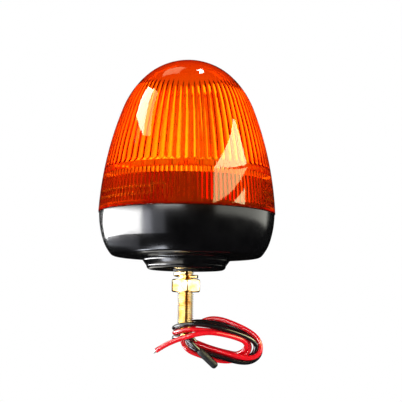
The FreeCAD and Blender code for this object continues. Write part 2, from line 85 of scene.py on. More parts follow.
# %% Routes
LEAD_RADIUS = 1.5
red_route = [
    (-1.68, 0.0, -41.0), (-1.68, 0.0, -44.0), (0.3, 0.1, -48.1), (3.7, 0.2, -50.9), (9.9, -0.1, -53.1),
    (16.2, -0.2, -55.0), (22.4, 0.1, -56.2), (28.7, 0.9, -56.3), (34.2, 1.2, -54.5), (39.2, 1.3, -51.7),
    (40.8, 1.0, -47.3), (38.7, -0.3, -43.4), (34.3, -1.6, -41.3), (28.6, -3.3, -39.7),
    (21.7, -5.3, -38.5), (14.3, -7.4, -37.5), (7.4, -8.2, -37.0), (1.1, -7.9, -37.1),
    (-3.6, -6.1, -38.2), (-6.6, -2.4, -39.2), (-6.4, 3.5, -39.1), (-2.1, 6.5, -37.5), (3.4, 8.3, -35.4),
    (9.3, 9.4, -32.6), (15.6, 9.1, -29.8), (23.2, 6.2, -30.4), (31.2, 3.9, -33.3), (38.7, 2.2, -36.7),
    (44.0, 1.1, -40.3), (47.0, 0.2, -44.7), (47.3, -1.1, -49.7), (44.2, -1.9, -53.4),
    (38.7, -2.1, -54.3), (31.9, -1.6, -53.2), (25.0, -0.8, -51.4), (18.1, 0.0, -49.2),
    (12.4, 0.8, -47.6), (7.7, 1.6, -46.1), (3.3, 3.2, -45.2), (1.6, 7.4, -44.6), (3.8, 11.1, -44.0),
    (8.0, 12.4, -45.4), (14.3, 10.8, -47.8), (21.2, 8.7, -49.8), (27.5, 5.8, -51.2), (32.4, 3.0, -52.1),
    (36.5, 0.5, -50.1), (38.7, -1.7, -47.0), (37.1, -3.9, -43.9), (33.0, -6.1, -42.2),
    (28.0, -7.7, -40.7), (21.2, -9.7, -39.3), (14.3, -11.2, -38.6), (7.3, -11.9, -39.7),
    (0.1, -11.7, -41.7), (-7.0, -10.5, -44.2), (-13.3, -8.6, -47.3), (-17.6, -6.6, -50.2),
]
black_route = [
    (1.68, 0.0, -41.0), (1.68, 0.0, -43.6), (3.7, -1.0, -47.5), (7.8, -1.8, -49.9), (13.1, -2.3, -51.4),
    (19.9, -2.6, -53.1), (26.9, -2.6, -55.1), (33.7, -1.7, -56.8), (40.3, -0.2, -56.9),
    (45.3, 1.0, -54.3), (47.7, 2.2, -50.0), (45.9, 3.3, -45.5), (43.7, 4.4, -41.2), (38.7, 5.3, -38.2),
    (32.4, 6.2, -35.7), (24.2, 7.0, -33.8), (15.5, 6.6, -32.3), (7.5, 6.1, -32.0), (1.4, 6.8, -33.0),
    (-3.7, 6.0, -34.7), (-7.0, 2.0, -36.3), (-6.4, -3.0, -35.9), (-3.2, -6.5, -34.4),
    (2.4, -8.2, -33.7), (9.3, -8.4, -33.7), (17.4, -7.8, -34.9), (25.7, -6.7, -37.0),
    (33.8, -4.7, -39.4), (40.0, -2.9, -42.0), (44.0, -2.2, -44.9), (44.2, -0.9, -49.2),
    (41.7, 2.4, -53.2), (36.1, 4.7, -55.0), (26.8, 6.1, -54.3), (17.6, 6.7, -51.3), (11.3, 7.1, -48.7),
    (7.2, 7.2, -46.1), (5.2, 7.3, -43.1), (2.0, 6.9, -41.1), (-2.9, 6.6, -41.3), (-7.1, 1.9, -42.4),
    (-6.0, -3.8, -42.1), (-2.4, -6.8, -41.9), (1.0, -8.3, -42.5), (3.4, -8.9, -44.4),
    (5.9, -8.9, -47.1), (8.6, -8.7, -49.6),
]
print("route points", len(red_route), "and", len(black_route))

# %% [markdown]
# ## The leads' curves
# A lead is a smooth curve with a round section. It could be swept as a mesh, but a
# curve stays easy to change. A NURBS curve passes near its control points instead of
# through them, so it never kinks. Its order is set after the points are added,
# because set before, it is lost.


# %% Lead curves
def lead(name, route):
    curve = bpy.data.curves.new(name, "CURVE")
    curve.dimensions = "3D"
    spline = curve.splines.new("NURBS")
    spline.points.add(len(route) - 1)
    for point, place in zip(spline.points, route):
        point.co = (*(MM * part for part in place), 1.0)
    spline.order_u = 3
    spline.use_endpoint_u = True
    spline.resolution_u = 10
    curve.bevel_depth = LEAD_RADIUS * MM
    curve.bevel_resolution = 7
    curve.use_fill_caps = True
    return in_scene(name, curve)


red_lead, black_lead = lead("red_lead", red_route), lead("black_lead", black_route)
print("leads", red_lead.name, "and", black_lead.name, 2 * LEAD_RADIUS, "mm across")

# %% [markdown]
# ## Writing node trees
# Materials and Geometry Nodes are both trees of nodes. One helper adds a node and
# fills or links its inputs. Another writes a sum as Math nodes and hands back its
# result, so a formula reads as a formula.


# %% Node helpers
def fill(tree, node, inputs):
    """Links each input that is given a socket, and sets each that is given a value."""
    for name, value in inputs.items():
        if isinstance(value, bpy.types.NodeSocket):
            tree.links.new(value, node.inputs[name])
        else:
            node.inputs[name].default_value = value


def add_node(tree, kind, inputs=None, **settings):
    node = tree.nodes.new(kind)
    for name, value in settings.items():
        setattr(node, name, value)
    fill(tree, node, inputs or {})
    return node


def sums(tree):
    def work_out(operation, *values):
        if len(values) > 2:
            values = (work_out(operation, *values[:-1]), values[-1])
        return add_node(tree, "ShaderNodeMath", dict(enumerate(values)), operation=operation).outputs[0]

    return work_out


def split(tree, vector):
    return add_node(tree, "ShaderNodeSeparateXYZ", {0: vector}).outputs


def combine(tree, x=0.0, y=0.0, z=0.0):
    return add_node(tree, "ShaderNodeCombineXYZ", {0: x, 1: y, 2: z}).outputs[0]


def spread(tree, value, low, high, value_low=0.0, value_high=1.0):
    """Takes a value from its own range to the one from low to high."""
    return add_node(tree, "ShaderNodeMapRange", {
        "Value": value, "From Min": value_low, "From Max": value_high, "To Min": low, "To Max": high,
    }).outputs["Result"]


# %% [markdown]
# ## Patterns
# Every surface gets a procedural material: its pattern is worked out from Object
# coordinates, so it stays put however the piece is seen. Noise is the source of all
# of them, used as a colour through a ramp, as a height through a bump, or as a gloss.
# A painted picture could do the same, but it would need an unwrapped mesh and a file.

# %% Pattern helpers
WHITE = (1.0, 1.0, 1.0, 1.0)


def new_material(name):
    material = bpy.data.materials.new(name)
    material.use_nodes = True
    return material, material.node_tree, material.node_tree.nodes["Principled BSDF"]


def object_place(tree):
    return add_node(tree, "ShaderNodeTexCoord").outputs["Object"]


def noise(tree, place, scale, detail, distortion=0.0):
    return add_node(tree, "ShaderNodeTexNoise", {
        "Vector": place, "Scale": scale, "Detail": detail, "Distortion": distortion,
    }).outputs["Fac"]


def ramp(tree, value, stops):
    """stops: a position and a shade for each."""
    node = add_node(tree, "ShaderNodeValToRGB", {"Fac": value})
    elements = node.color_ramp.elements
    for position, shade in stops[1:-1]:
        elements.new(position)
    for element, (position, shade) in zip(elements, stops):
        element.position, element.color = position, (*shade, 1.0)
    return node.outputs["Color"]


def bump(tree, height, depth):
    return add_node(tree, "ShaderNodeBump", {"Height": height, "Distance": depth}).outputs["Normal"]


# %% [markdown]
# ## Plain finishes
# Most plastics, metals and rubbers need the same three things at different strengths:
# two shades mixed by noise, a gloss that varies, and a fine grain that tilts the
# surface. One function makes them all.

# %% Plain finishes
NOISE_LOW, NOISE_HIGH = 0.3, 0.7
SPECK, MICRON = 0.0004, 0.000001


def finish(name, dark, light, gloss, grain, metal=0.0, coat=0.0, patch=0.01):
    """gloss: lowest and highest roughness; grain: its depth in microns; patch: a patch's size in m."""
    material, tree, shader = new_material(name)
    place = object_place(tree)
    patches = noise(tree, place, 1 / patch, 4.0)
    fill(tree, shader, {
        "Base Color": ramp(tree, patches, [(NOISE_LOW, dark), (NOISE_HIGH, light)]),
        "Roughness": spread(tree, patches, *gloss, NOISE_LOW, NOISE_HIGH),
        "Normal": bump(tree, noise(tree, place, 1 / SPECK, 2.0), grain * MICRON),
        "Metallic": metal, "Coat Weight": coat,
    })
    return material


finishes = {
    "black_housing": finish("black ABS with painted collar light", (0.002, 0.002, 0.0024), (0.004, 0.004, 0.0045), (0.17, 0.22), 4),
    "black_rubber": finish("black rubber", (0.008, 0.008, 0.008), (0.016, 0.016, 0.015), (0.55, 0.75), 30),
    "board_green": finish("green solder mask", (0.006, 0.09, 0.03), (0.01, 0.13, 0.045), (0.25, 0.4), 10),
    "board_white": finish("white solder mask", (0.7, 0.7, 0.66), (0.8, 0.8, 0.77), (0.25, 0.4), 10),
    "terminal_plastic": finish(
        "terminal block plastic", (0.01, 0.08, 0.2), (0.015, 0.1, 0.26), (0.35, 0.5), 10),
    "capacitor_sleeve": finish("capacitor sleeve", (0.008, 0.01, 0.03), (0.015, 0.02, 0.05), (0.2, 0.35), 5),
    "ferrite": finish("ferrite", (0.02, 0.019, 0.018), (0.05, 0.045, 0.04), (0.5, 0.8), 40),
    "chip_black": finish("moulded epoxy", (0.012, 0.012, 0.013), (0.02, 0.02, 0.021), (0.45, 0.6), 10),
    "screw_steel": finish(
        "zinc-plated steel", (0.5, 0.52, 0.55), (0.68, 0.69, 0.72), (0.22, 0.4), 6, metal=1.0),
    "white_plastic": finish("white acetal", (0.72, 0.71, 0.68), (0.8, 0.79, 0.76), (0.3, 0.42), 10),
    "diode_body": finish(
        "diode package", (0.75, 0.6, 0.12), (0.85, 0.74, 0.25), (0.15, 0.3), 5, patch=0.002),
    "red_lead": finish("red PVC", (0.80, 0.003, 0.010), (0.93, 0.006, 0.016), (0.15, 0.22), 4, coat=1.0),
    "black_lead": finish(
        "black PVC", (0.006, 0.006, 0.007), (0.011, 0.011, 0.012), (0.14, 0.22), 4, coat=1.0),
    "black_sleeve": finish(
        "heat-shrink sleeve", (0.007, 0.007, 0.007), (0.013, 0.013, 0.013), (0.4, 0.55), 30),
    "tinned_copper": finish(
        "tinned copper", (0.6, 0.58, 0.55), (0.82, 0.8, 0.77), (0.2, 0.35), 20, metal=1.0, patch=0.001),
}
print("finishes", len(finishes))

# %% [markdown]
# ## The collar's finish and painted light
# Only what shows is polished in the mould, so the collar, which stands inside the lens,
# is of the housing's own plastic but matt. Above the rim its colour is also a lighter
# grey than the housing's black: painted light that makes the collar read brighter
# through the lens. The change falls at the height of the base's rim, where the lens
# sits. It could be a second material on the faces higher up, but the CAD piece has one
# slot, so one material holds both finishes.

# %% Collar finish and painted light
# The collar's lighter grey is painted light, not the plastic's own colour.
RIM_HEIGHT, COLLAR_PAINTED_LIGHT, COLLAR_GLOSS = 0.0352, (0.10, 0.09, 0.085, 1.0), (0.5, 0.5, 0.5, 1.0)

tree = finishes["black_housing"].node_tree
shader = tree.nodes["Principled BSDF"]
above = sums(tree)("GREATER_THAN", split(tree, object_place(tree))[2], RIM_HEIGHT)
# Above the rim the base colour becomes the painted-light grey, and the roughness a matt one.
for label, value in (("Base Color", COLLAR_PAINTED_LIGHT), ("Roughness", COLLAR_GLOSS)):
    polished = shader.inputs[label].links[0].from_socket
    mixed = add_node(tree, "ShaderNodeMixRGB", {"Fac": above, "Color1": polished, "Color2": value})
    fill(tree, shader, {label: mixed.outputs[0]})
print("matt above", round(RIM_HEIGHT / MM, 1), "mm")

# %% [markdown]
# ## Yellow passivated zinc
# The stud, nut and washer are steel with a yellow chromate film over zinc. The film
# is so thin that it interferes with light: it is gold, with patches that lean to
# orange and a little to green. So the metal's colour runs through those shades by
# a slow noise, and finer streaks stand for the marks of turning and rolling. The
# shader can work out such a film itself, but a ramp of shades is easier to steer.


# %% Plated steel
FILM = [(0.30, (0.84, 0.47, 0.12)), (0.50, (0.93, 0.72, 0.36)), (0.72, (0.95, 0.88, 0.66))]

material, tree, shader = new_material("yellow passivated zinc")
place = object_place(tree)
drift = noise(tree, place, 170.0, 3.0, distortion=0.6)
stretched = add_node(tree, "ShaderNodeMapping", {"Vector": place, "Scale": (1.0, 1.0, 9.0)})
streaks = noise(tree, stretched.outputs[0], 700.0, 3.0)
fill(tree, shader, {
    "Base Color": ramp(tree, drift, FILM), "Roughness": spread(tree, streaks, 0.08, 0.2),
    "Normal": bump(tree, streaks, 3 * MICRON), "Metallic": 1.0,
})
finishes["yellow_zinc"] = material
print(material.name, "has", len(tree.nodes), "nodes")

# %% [markdown]
# ## Amber polycarbonate
# The lens is clear plastic with an amber dye in it. Dye takes light away along the
# way through the plastic, so a thin wall looks yellow and a thick edge looks red:
# a volume absorption does just that. To tint the surface would be simpler, but would
# colour thick and thin alike. Cycles stops lamp light at glass, so shadow rays get an
# amber see-through instead. The moulded skin is not quite even, and a very faint
# waviness breaks up what it mirrors.

# %% Lens material
DYE_COLOUR, DYE_DENSITY = (0.990, 0.667, 0.0, 1.0), 1500.0
LAMP_LIGHT_COLOUR = (0.95, 0.45, 0.03, 1.0)

material, tree, shader = new_material("amber polycarbonate")
waves = noise(tree, object_place(tree), 60.0, 2.0)
fill(tree, shader, {
    "Base Color": WHITE, "Transmission Weight": 1.0, "IOR": 1.52,
    "Roughness": spread(tree, waves, 0.01, 0.05), "Normal": bump(tree, waves, 60 * MICRON),
})
lamp_ray = add_node(tree, "ShaderNodeLightPath").outputs["Is Shadow Ray"]
see_through = add_node(tree, "ShaderNodeBsdfTransparent", {"Color": LAMP_LIGHT_COLOUR})
both = add_node(tree, "ShaderNodeMixShader", {0: lamp_ray, 1: shader.outputs[0], 2: see_through.outputs[0]})
dye = add_node(tree, "ShaderNodeVolumeAbsorption", {"Color": DYE_COLOUR, "Density": DYE_DENSITY})
fill(tree, tree.nodes["Material Output"], {"Surface": both.outputs[0], "Volume": dye.outputs[0]})
finishes["amber_lens"] = material
print(material.name, "has", len(tree.nodes), "nodes")

# %% [markdown]
# ## Finishes on the pieces that stay
# Many CAD pieces already have the right shape and only need their finish. The
# record names a material slot for each node, and each slot has a finish above.

# %% Dress the CAD nodes
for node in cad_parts.values():
    for held in node.material_slots:
        held.material = finishes[held.material.name.split(".")[0]]
print("dressed", len(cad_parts), "nodes")

# %% [markdown]
# ## Making pieces
# Pieces are built in millimetres, as the real drawings would be, and made metres at
# the end. Each is a skin between rings of points. A ring may have twice the points
# of its neighbour, so that a coarse smooth wall can meet a finely ribbed one, and a
# ring of one point closes a dome at its top.


# %% Mesh helpers
def ring_of(builder, count, place):
    """place(turn) gives radius and height at each share of a turn."""
    points = []
    for step in range(count):
        angle = 2 * math.pi * step / count
        radius, height = place(step / count)
        points.append(builder.verts.new((radius * math.cos(angle), radius * math.sin(angle), height)))
    return points


def stretch(ring, step, steps):
    """The points of a ring that one face takes, where so many faces go round it."""
    if len(ring) == 1:
        return ring
    share = len(ring) // steps
    return [ring[(step * share + extra) % len(ring)] for extra in range(share + 1)]


def skin(builder, rings):
    """Faces from each ring to the next, outwards where the next one is above it."""
    for first, second in zip(rings, rings[1:]):
        fewer, more = sorted((len(first), len(second)))
        steps = fewer if fewer > 1 else more
        for step in range(steps if steps > 1 else 0):
            builder.faces.new(stretch(first, step, steps) + stretch(second, step, steps)[::-1])


def mesh_from(builder, name, material):
    mesh = bpy.data.meshes.new(name)
    builder.to_mesh(mesh)
    builder.free()
    mesh.materials.append(material)
    return mesh


def smooth(mesh, sharp):
    """Smooth, but for the edges where faces turn by more than the sharp angle."""
    mesh.shade_smooth()
    mesh.set_sharp_from_angle(angle=math.radians(sharp))


def piece_from(builder, name, finish_name, sharp=30.0):
    bmesh.ops.scale(builder, vec=(MM, MM, MM), verts=builder.verts)
    mesh = mesh_from(builder, name, finishes[finish_name])
    smooth(mesh, sharp)
    return in_scene(name, mesh)


def hand_over(piece, body, slot, *nodes):
    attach(piece, body)
    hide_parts(*nodes)
    low, high = (Vector(map(side, zip(*(v.co for v in piece.data.vertices)))) for side in (min, max))
    print(piece.name, len(piece.data.polygons), "faces", [round(1000 * x, 1) for x in (*low, *high)], "mm")


# %% [markdown]
# ## Geometry Nodes from a script
# A node group is a recipe with named inputs. This helper starts one, and the next
# runs it: it puts the group on an object as a modifier, fills the inputs by their
# identifiers, reads the result back as a plain mesh and takes the modifier off.


# %% Recipe helpers
SOCKETS = {int: "NodeSocketInt", float: "NodeSocketFloat", tuple: "NodeSocketVector"}


def new_recipe(name, **sizes):
    tree = bpy.data.node_groups.new(name, "GeometryNodeTree")
    face = tree.interface
    face.new_socket("Geometry", in_out="INPUT", socket_type="NodeSocketGeometry")
    for label, value in sizes.items():
        face.new_socket(label, in_out="INPUT", socket_type=SOCKETS[type(value)]).default_value = value
    face.new_socket("Finish", in_out="INPUT", socket_type="NodeSocketMaterial")
    face.new_socket("Geometry", in_out="OUTPUT", socket_type="NodeSocketGeometry")
    return tree, tree.nodes.new("NodeGroupInput").outputs


def end_recipe(tree, geometry, finish_socket):
    whole = add_node(tree, "GeometryNodeRealizeInstances", {"Geometry": geometry}).outputs[0]
    dressed = add_node(tree, "GeometryNodeSetMaterial", {"Geometry": whole, "Material": finish_socket})
    add_node(tree, "NodeGroupOutput", {"Geometry": dressed.outputs[0]})
    print(tree.name, "has", len(tree.nodes), "nodes")
    return tree


def follow_recipe(piece, tree, finish_name, **sizes):
    modifier = piece.modifiers.new(tree.name, "NODES")
    modifier.node_group = tree
    sizes["Finish"] = finishes[finish_name]
    for item in tree.interface.items_tree:
        if item.in_out == "INPUT" and item.name in sizes:
            modifier[item.identifier] = sizes[item.name]
    shaped = piece.evaluated_get(bpy.context.evaluated_depsgraph_get())
    mesh = bpy.data.meshes.new_from_object(shaped)
    piece.modifiers.remove(modifier)
    piece.data = mesh


def sweep(tree, curve, section, radius, count, limit=False):
    """A closed bar: the section, with its corners rounded, carried along the curve."""
    rounded = add_node(tree, "GeometryNodeFilletCurve", {
        "Curve": section, "Radius": radius, "Count": count, "Limit Radius": limit,
    }, mode="POLY")
    return add_node(tree, "GeometryNodeCurveToMesh", {
        "Curve": curve, "Profile Curve": rounded.outputs[0], "Fill Caps": True,
    }).outputs[0]


def rectangle(tree, width, height):
    section = add_node(tree, "GeometryNodeCurvePrimitiveQuadrilateral", {"Width": width, "Height": height})
    return section.outputs[0]


def empty_piece(name):
    return in_scene(name, bpy.data.meshes.new(name))


# %% [markdown]
# ## The lens's outline
# In section the lens is a chain of arcs that run into each other without a corner:
# a nearly straight side, a rounder shoulder and a ball for the crown. The inner wall
# follows the same arcs at the wall's thickness. Radius and height are in mm, and a
# lean is the angle in degrees that the wall has turned in from upright. A curve drawn
# through many points would do too, but three arcs need only a few numbers.

# %% Outline
LENS_LIP, LENS_BOTTOM, SIDE_LEAN = 55.86, 35.5, 2.83
SIDE, SHOULDER = (219.0, 20.7), (56.8, 45.7)
LENS_WALL, UPWARDS = 2.4, 90.0


class Arc:
    def __init__(self, start, lean, bend, end_lean):
        angle = math.radians(lean)
        self.middle = (start[0] - bend * math.cos(angle), start[1] - bend * math.sin(angle))
        self.bend, self.lean, self.end_lean = bend, lean, end_lean

    def at(self, lean, inset=0.0):
        bend, angle = self.bend - inset, math.radians(lean)
        return self.middle[0] + bend * math.cos(angle), self.middle[1] + bend * math.sin(angle)

    def lean_at(self, height, inset):
        share = (height - self.middle[1]) / (self.bend - inset)
        return math.degrees(math.asin(max(-1.0, min(1.0, share))))


side = Arc((LENS_LIP, LENS_BOTTOM), SIDE_LEAN, *SIDE)
shoulder = Arc(side.at(side.end_lean), side.end_lean, *SHOULDER)
shoulder_end = shoulder.at(shoulder.end_lean)
crown_bend = shoulder_end[0] / math.cos(math.radians(shoulder.end_lean))
crown = Arc(shoulder_end, shoulder.end_lean, crown_bend, UPWARDS)
dome = [side, shoulder, crown]


def radius_at(height, inset=0.0):
    for arc in dome:
        lean = arc.lean_at(height, inset)
        if lean <= arc.end_lean or arc is crown:
            return arc.at(lean, inset)[0]


print("lens top at", round(crown.at(UPWARDS)[1], 2), "mm")

# %% [markdown]
# ## The lens's flutes, blocks and ribs
# From top to bottom the inner wall has a smooth crown, 72 round flutes whose lower
# ends are rounded, a band of 36 shallow blocks, and 120 fine ribs. All of them
# repeat round the axis by a rule, so Geometry Nodes shape them: the mesh comes in
# as a plain lathed wall whose points say, in three attributes, which pattern they
# belong to, and the recipe moves each point out by that pattern's depth. Flutes could
# be cut out one by one instead, but one grid of points stays closed and smooth. The
# blocks are shifted by a hair, so that rounding never decides where a block ends.

# %% Lens recipe
AXIS_GUARD, BLOCK_SHIFT = 0.0001, 0.001


def inner_wall_recipe():
    tree, given = new_recipe(
        "inner wall patterns", Flutes=72, FluteDepth=0.0007, FluteBottom=0.062,
        Ribs=120, RibDepth=0.0006, Blocks=36, BlockDepth=0.0008, BlockShare=0.76,
    )
    calc = sums(tree)
    x, y, height = split(tree, add_node(tree, "GeometryNodeInputPosition").outputs[0])
    radius = calc("SQRT", calc("ADD", calc("MULTIPLY", x, x), calc("MULTIPLY", y, y)))
    radius = calc("MAXIMUM", radius, AXIS_GUARD)
    turn = calc("DIVIDE", calc("ARCTAN2", y, x), 2 * math.pi)

    def share(name):
        return add_node(tree, "GeometryNodeInputNamedAttribute", {"Name": name}).outputs["Attribute"]

    def across(count):
        return calc("SUBTRACT", calc("MULTIPLY", calc("FRACT", calc("MULTIPLY", turn, count)), 2.0), 1.0)

    def hollow(distance_squared):
        return calc("SUBTRACT", 1.0, calc("MAXIMUM", calc("SUBTRACT", 1.0, distance_squared), 0.0))

    half = calc("DIVIDE", calc("MULTIPLY", radius, math.pi), given["Flutes"])
    below = calc("MAXIMUM", calc("SUBTRACT", calc("ADD", given["FluteBottom"], half), height), 0.0)
    end, flute, rib = calc("DIVIDE", below, half), across(given["Flutes"]), across(given["Ribs"])
    flute = hollow(calc("ADD", calc("MULTIPLY", flute, flute), calc("MULTIPLY", end, end)))
    rib = hollow(calc("MULTIPLY", rib, rib))
    phase = calc("FRACT", calc("ADD", calc("MULTIPLY", turn, given["Blocks"]), BLOCK_SHIFT))
    block = calc("LESS_THAN", phase, given["BlockShare"])
    depth = calc("ADD", *(
        calc("MULTIPLY", share(name), given[name.title() + "Depth"], shape)
        for name, shape in (("flute", flute), ("rib", rib), ("block", block))))
    outwards = calc("DIVIDE", depth, radius)
    offset = combine(tree, calc("MULTIPLY", x, outwards), calc("MULTIPLY", y, outwards))
    moved = add_node(tree, "GeometryNodeSetPosition", {"Geometry": given["Geometry"], "Offset": offset})
    return end_recipe(tree, moved.outputs[0], given["Finish"])


lens_recipe = inner_wall_recipe()

# %% [markdown]
# ## The rows of the lens's wall
# The outside is smooth, so 360 points round are enough. The inside needs 720, ten to
# a flute and six to a fine rib, so that every groove falls on a row of points. Rows
# are close together only where the shape changes with height, as at the rounded ends
# of the flutes. At the crown the count is halved a few times on the way to the top.
# Outside, two rows near the lip keep its rounding narrow.

# %% Outside rows
FINE_COLUMNS, COLUMNS = 720, 360
OUTSIDE_HALVINGS, INSIDE_HALVINGS = (78, 86), (60, 74, 84)
RIB_BOTTOM, BAND_BOTTOM, FLUTE_BOTTOM, FLUTE_TOP, FLUTE_FULL = 38.3, 58.0, 62.0, 117.0, 108.0
OUTSIDE_ROWS, CROWN_ROWS, RIB_ROWS = (20, 12, 26), 16, 7
FADE_STEP, FADE_ROWS, FLUTE_STEP, FLUTE_ROWS = 0.9, 11, 2.75, 16
FLUTE_END_ROWS = (3.4, 2.6, 2.15, 1.8, 1.45, 1.15, 0.9, 0.65, 0.45, 0.25, 0.1, 0.0)
BAND_STEP, BLOCK_MARGIN, BLOCK_EDGE = 0.5, 0.6, 0.05
LIP_INSIDE, LIP_HEIGHT, LIP_ROUNDING, LIP_SUPPORT, RELIEF = LENS_LIP - 3.7, 1.2, 0.08, 0.3, 0.3


def points_at(lean, most, halvings):
    return most // 2 ** sum(lean >= limit for limit in halvings)


def outside(row):
    row(LENS_LIP - LIP_ROUNDING, LENS_BOTTOM, COLUMNS)
    for rise in (LIP_ROUNDING, LIP_SUPPORT):
        row(radius_at(LENS_BOTTOM + rise), LENS_BOTTOM + rise, COLUMNS)
    for arc, steps in zip(dome, OUTSIDE_ROWS):
        for step in range(1, steps if arc is crown else steps + 1):
            lean = arc.lean + (arc.end_lean - arc.lean) * step / steps
            row(*arc.at(lean), points_at(lean, COLUMNS, OUTSIDE_HALVINGS))
    row(0.0, crown.at(UPWARDS)[1], 1)


# %% [markdown]
# ## The rows inside
# From the top down: the smooth crown; the flutes, which fade in below it and end in
# close rows where they are rounded; the band with its blocks; the fine ribs; and the
# lip, whose step takes the rim of the base.


# %% Inside rows
def inside_crown(row):
    row(0.0, crown.at(UPWARDS, LENS_WALL)[1], 1)
    low = crown.lean_at(FLUTE_TOP, LENS_WALL)
    for step in range(CROWN_ROWS - 1, 0, -1):
        lean = low + (UPWARDS - low) * step / CROWN_ROWS
        row(*crown.at(lean, LENS_WALL), points_at(lean, FINE_COLUMNS, INSIDE_HALVINGS))


def inside_flutes(row):
    heights = [FLUTE_TOP - FADE_STEP * step for step in range(FADE_ROWS)]
    heights += [FLUTE_FULL - FLUTE_STEP * step for step in range(1, FLUTE_ROWS)]
    heights += [FLUTE_BOTTOM + rise for rise in FLUTE_END_ROWS]
    for height in heights:
        fade = min(1.0, max(0.0, (FLUTE_TOP - height) / (FLUTE_TOP - FLUTE_FULL)))
        row(radius_at(height, LENS_WALL), height, FINE_COLUMNS, flute=fade * fade * (3 - 2 * fade))


def inside_band_and_ribs(row):
    band = radius_at(FLUTE_BOTTOM, LENS_WALL) - BAND_STEP
    high, low = FLUTE_BOTTOM - BLOCK_MARGIN, BAND_BOTTOM + BLOCK_MARGIN
    for height, block in ((FLUTE_BOTTOM, 0.0), (high, 0.0), (high - BLOCK_EDGE, 1.0),
                          (low + BLOCK_EDGE, 1.0), (low, 0.0), (BAND_BOTTOM, 0.0)):
        row(band, height, FINE_COLUMNS, block=block)
    for step in range(RIB_ROWS + 1):
        height = BAND_BOTTOM - (BAND_BOTTOM - RIB_BOTTOM) * step / RIB_ROWS
        row(radius_at(height, LENS_WALL), height, FINE_COLUMNS, rib=1.0)


def inside_lip(row):
    relief = radius_at(RIB_BOTTOM, LENS_WALL) + RELIEF
    row(relief, RIB_BOTTOM, FINE_COLUMNS)
    for radius, rise in ((relief, LIP_HEIGHT), (LIP_INSIDE, LIP_HEIGHT), (LIP_INSIDE, 0.0)):
        row(radius, LENS_BOTTOM + rise, FINE_COLUMNS)


# %% [markdown]
# ## The lens's wall
# The rows go up the outside and down the inside, and a skin joins each to the next
# and the last to the first. Then the recipe presses its patterns into the inside.


# %% Lens wall
def lens_wall():
    builder = bmesh.new()
    layers = {name: builder.verts.layers.float.new(name) for name in ("flute", "rib", "block")}
    rings = []

    def row(radius, height, count, **marks):
        ring = ring_of(builder, count, lambda turn: (radius, height))
        for name, value in marks.items():
            for point in ring:
                point[layers[name]] = value
        rings.append(ring)

    for part in (outside, inside_crown, inside_flutes, inside_band_and_ribs, inside_lip):
        part(row)
    skin(builder, rings + rings[:1])
    print("lens wall volume", round(builder.calc_volume(signed=True)), "mm3, rows", len(rings))
    return piece_from(builder, "fluted_lens", "amber_lens")


fluted_lens = lens_wall()
follow_recipe(fluted_lens, lens_recipe, "amber_lens")

# %% [markdown]
# ## Ribs that hold the lens on its base
# Low down, flat ribs stand in from the lens in two sectors, each with a framed tab
# as its stop. They are an interrupted thread: the lens goes on between the sectors
# of the base and a part turn locks it. A rib is a rounded bar bent along an arc, so
# the recipe sweeps a rounded rectangle along it and repeats it up the wall and on
# the far side. A Boolean could weld the bars to the wall. Here they just sink a
# little way into it, which looks the same and leaves the mesh clean.

# %% Rib recipe
def arc_rib_recipe():
    tree, given = new_recipe(
        "ribs along an arc", Inner=0.05, Reach=0.003, Height=0.0015, Low=0.037, Start=0.0, Sweep=1.0,
        Segments=64, Rows=3, Pitch=0.0042, Round=0.0002,
    )
    calc = sums(tree)
    arc = add_node(tree, "GeometryNodeCurveArc", {
        "Resolution": given["Segments"], "Start Angle": given["Start"], "Sweep Angle": given["Sweep"],
        "Radius": calc("ADD", given["Inner"], calc("DIVIDE", given["Reach"], 2.0)),
    })
    section = rectangle(tree, given["Reach"], given["Height"])
    bar = sweep(tree, arc.outputs[0], section, given["Round"], 2)
    low = calc("ADD", given["Low"], calc("DIVIDE", given["Height"], 2.0))
    places = add_node(tree, "GeometryNodeMeshLine", {
        "Count": given["Rows"], "Start Location": combine(tree, z=low),
        "Offset": combine(tree, z=given["Pitch"]),
    })
    near = add_node(tree, "GeometryNodeInstanceOnPoints", {"Points": places.outputs[0], "Instance": bar})
    far = add_node(tree, "GeometryNodeTransform", {
        "Geometry": near.outputs[0], "Rotation": (0.0, 0.0, math.pi),
    })
    pair = add_node(tree, "GeometryNodeJoinGeometry")
    for half in (near, far):
        tree.links.new(half.outputs[0], pair.inputs[0])
    return end_recipe(tree, pair.outputs[0], given["Finish"])


rib_recipe = arc_rib_recipe()

# %% [markdown]
# The tab's frame is four of the same bars: a low and a high one as wide as the tab,
# and two tall ones as narrow as the frame. All of them join the lens's mesh, since
# they are moulded in one with it.

# %% Lens ribs
FRONT = -90.0
SECTOR, SECTOR_END = 106.0, -13.4
TAB_SECTOR, TAB_HEIGHT, TAB_FRAME = 10.6, 11.6, 1.3
RIB_LOW, RIB_HEIGHT, RIB_PITCH, RIB_REACH, RIB_ROOT = 37.3, 1.5, 4.2, 3.0, 0.1

inner_wall = radius_at(RIB_LOW, LENS_WALL) - RIB_REACH
edge_sweep = math.degrees(TAB_FRAME / inner_wall)
tab_start, tab_low = SECTOR_END - TAB_SECTOR, RIB_LOW - LIP_HEIGHT / 2


def bars(name, low, height, start, width, rows=1, pitch=0.0, segments=64):
    """Bars on the lens's wall: low, height and pitch in mm, start and width in degrees."""
    piece = empty_piece(name)
    follow_recipe(
        piece, rib_recipe, "amber_lens", Inner=inner_wall * MM, Reach=(RIB_REACH + RIB_ROOT) * MM,
        Low=low * MM, Height=height * MM, Start=math.radians(start + FRONT), Sweep=math.radians(width),
        Rows=rows, Pitch=pitch * MM, Segments=segments,
    )
    return piece


def join(whole, parts):
    builder = bmesh.new()
    for part in [whole, *parts]:
        builder.from_mesh(part.data)
    builder.to_mesh(whole.data)
    builder.free()
    for part in parts:
        bpy.data.objects.remove(part)
    smooth(whole.data, 28.0)


